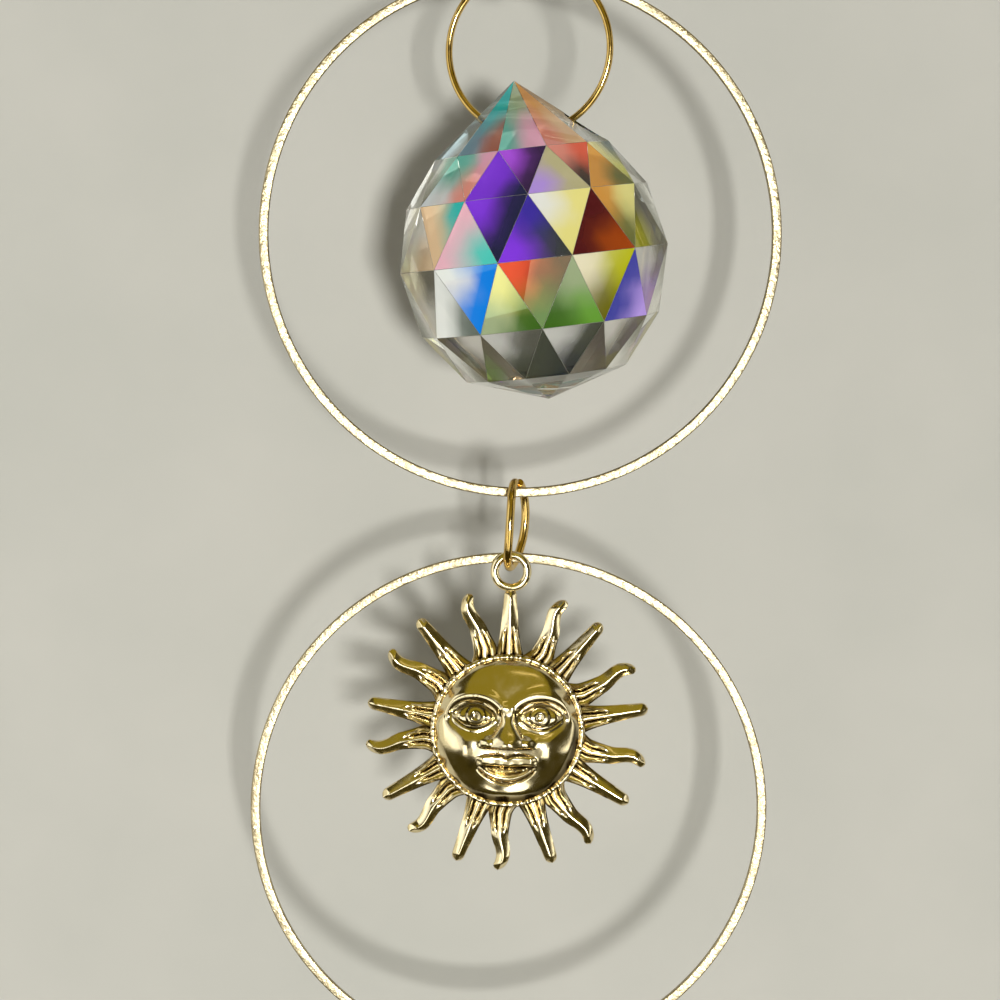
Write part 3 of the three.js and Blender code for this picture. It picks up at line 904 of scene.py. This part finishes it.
def one_sided(material):
    """Lets the sight through a sheet from behind, so that a view from there isn't blocked."""
    nodes = {node.type: node for node in material.node_tree.nodes}
    side = add(material, "ShaderNodeNewGeometry").outputs["Backfacing"]
    clear = add(material, "ShaderNodeBsdfTransparent").outputs["BSDF"]
    mix = add(material, "ShaderNodeMixShader",
              {"Fac": side, 1: nodes["BSDF_PRINCIPLED"].outputs["BSDF"], 2: clear})
    material.node_tree.links.new(mix.outputs["Shader"], nodes["OUTPUT_MATERIAL"].inputs["Surface"])
    return material


def make_stage():
    floor_z = CAD_BOX[0].z / MM - FLOOR_DROP
    reach = WALL_REACH
    floor = [(-reach, -reach, floor_z), (reach, -reach, floor_z), (reach, reach, floor_z),
             (-reach, reach, floor_z)]
    wall = [(-reach, WALL_GAP, floor_z), (reach, WALL_GAP, floor_z), (reach, WALL_GAP, reach),
            (-reach, WALL_GAP, reach)]
    sheet_of("floor", floor, new_material("pale floor paint", floor_paint))
    sheet_of("wall", wall, one_sided(new_material("pale wall paint", wall_paint)))


MIDDLE_OF_ALL = (0, 0, -86)


def lamp(name, place, size, power, colour="FFFFFF", aim=MIDDLE_OF_ALL):
    """A soft rectangular lamp at a place in millimetres, turned to its aim."""
    data = bpy.data.lights.new(name, "AREA")
    data.shape = "RECTANGLE"
    data.size, data.size_y = size[0] * MM, size[1] * MM
    data.energy = power
    data.color = linear(colour)[:3]
    made = bpy.data.objects.new(name, data)
    direction = Vector(aim) - Vector(place)
    made.matrix_world = (Matrix.Translation(Vector(place) * MM)
                         @ direction.to_track_quat("-Z", "Y").to_matrix().to_4x4())
    made.visible_camera = False
    bpy.context.scene.collection.objects.link(made)
    return made


def reflector(name, place, size, radiance, colour="FFFFFF"):
    """A soft panel that only shows in the metal and the crystal."""
    power = radiance * math.pi * size[0] * size[1] * MM * MM
    lamp(name, place, size, power, colour).visible_diffuse = False


def make_world():
    """The studio around: pale where it is seen, dim as light, and brownish in the reflections."""
    world = bpy.data.worlds.new("studio")
    bpy.context.scene.world = world
    world.use_nodes = True
    world.node_tree.nodes.clear()
    path = add(world, "ShaderNodeLightPath").outputs
    seen = add(world, "ShaderNodeBackground", {"Color": linear("C6C2B0")})
    dim = add(world, "ShaderNodeBackground", {"Color": linear("46443E")})
    mirrored = add(world, "ShaderNodeBackground", {"Color": linear("3C3410")})
    room = add(world, "ShaderNodeMixShader", {
        "Fac": path["Is Glossy Ray"], 1: dim.outputs["Background"], 2: mirrored.outputs["Background"]})
    whole = add(world, "ShaderNodeMixShader", {
        "Fac": path["Is Camera Ray"], 1: room.outputs["Shader"], 2: seen.outputs["Background"]})
    add(world, "ShaderNodeOutputWorld", {"Surface": whole.outputs["Shader"]})


def make_light():
    """A key far off at the lower right, lamps for the floor, a left fill, and the room's reflections."""
    lamp("key", (446, -3000, -300), (330, 330), 79)
    for name, y in (("floor_front", -775), ("floor_behind", 775)):
        lamp(name, (0, y, -300), (2800, 1350), 2.4, aim=(0, y, -450)).visible_glossy = False
    lamp("left_fill", (-420, -260, -60), (240, 500), 0.3)
    reflector("low_right_panel", (170, -480, -345), (300, 360), 2.0, "FFFCF0")
    reflector("low_middle_panel", (-80, -480, -370), (150, 260), 0.5, "F4EFDC")
    reflector("low_left_panel", (-330, -480, -345), (200, 360), 2.0, "FFFCF0")
    reflector("left_wall", (-480, -130, -60), (300, 500), 0.8, "F4EFDC")
    reflector("right_strip", (520, -120, -80), (70, 500), 1.8, "FFFCF0")
    reflector("upper_room", (0, -611, 592), (1400, 1376), 0.34, "CDBA3E")
    reflector("upper_strip", (200, -420, 420), (320, 40), 1.2, "F6DFA8")
    bpy.context.scene.view_settings.view_transform = "Standard"


# ---------------------------------------------------------------- the suncatcher

make_camera()
HOOP_PLATE = new_material("pale gold plate, satin", hoop_plate)
WIRE_PLATE = new_material("gold plated brass wire, polished", wire_plate)
SUN_PLATE = new_material("gold plated brass, stamped", sun_plate)
CLEAR_CRYSTAL = new_material("crystal glass, cut and polished", clear_crystal)
FAINT_COAT_AND_PAINTED_REFLECTIONS = new_material("crystal glass, faint coat, painted reflections", faint_coat_and_painted_reflections)
COAT_AND_PAINTED_REFLECTIONS = new_material("crystal glass, iridescent coat, painted reflections", coat_and_painted_reflections)

for name in ("upper_hoop", "lower_hoop"):
    hoop(name)
for name in ("top_link", "middle_link"):
    link(name)
crystal_ring()
crystal_ball()
sun_charm()
make_stage()
make_world()
make_light()
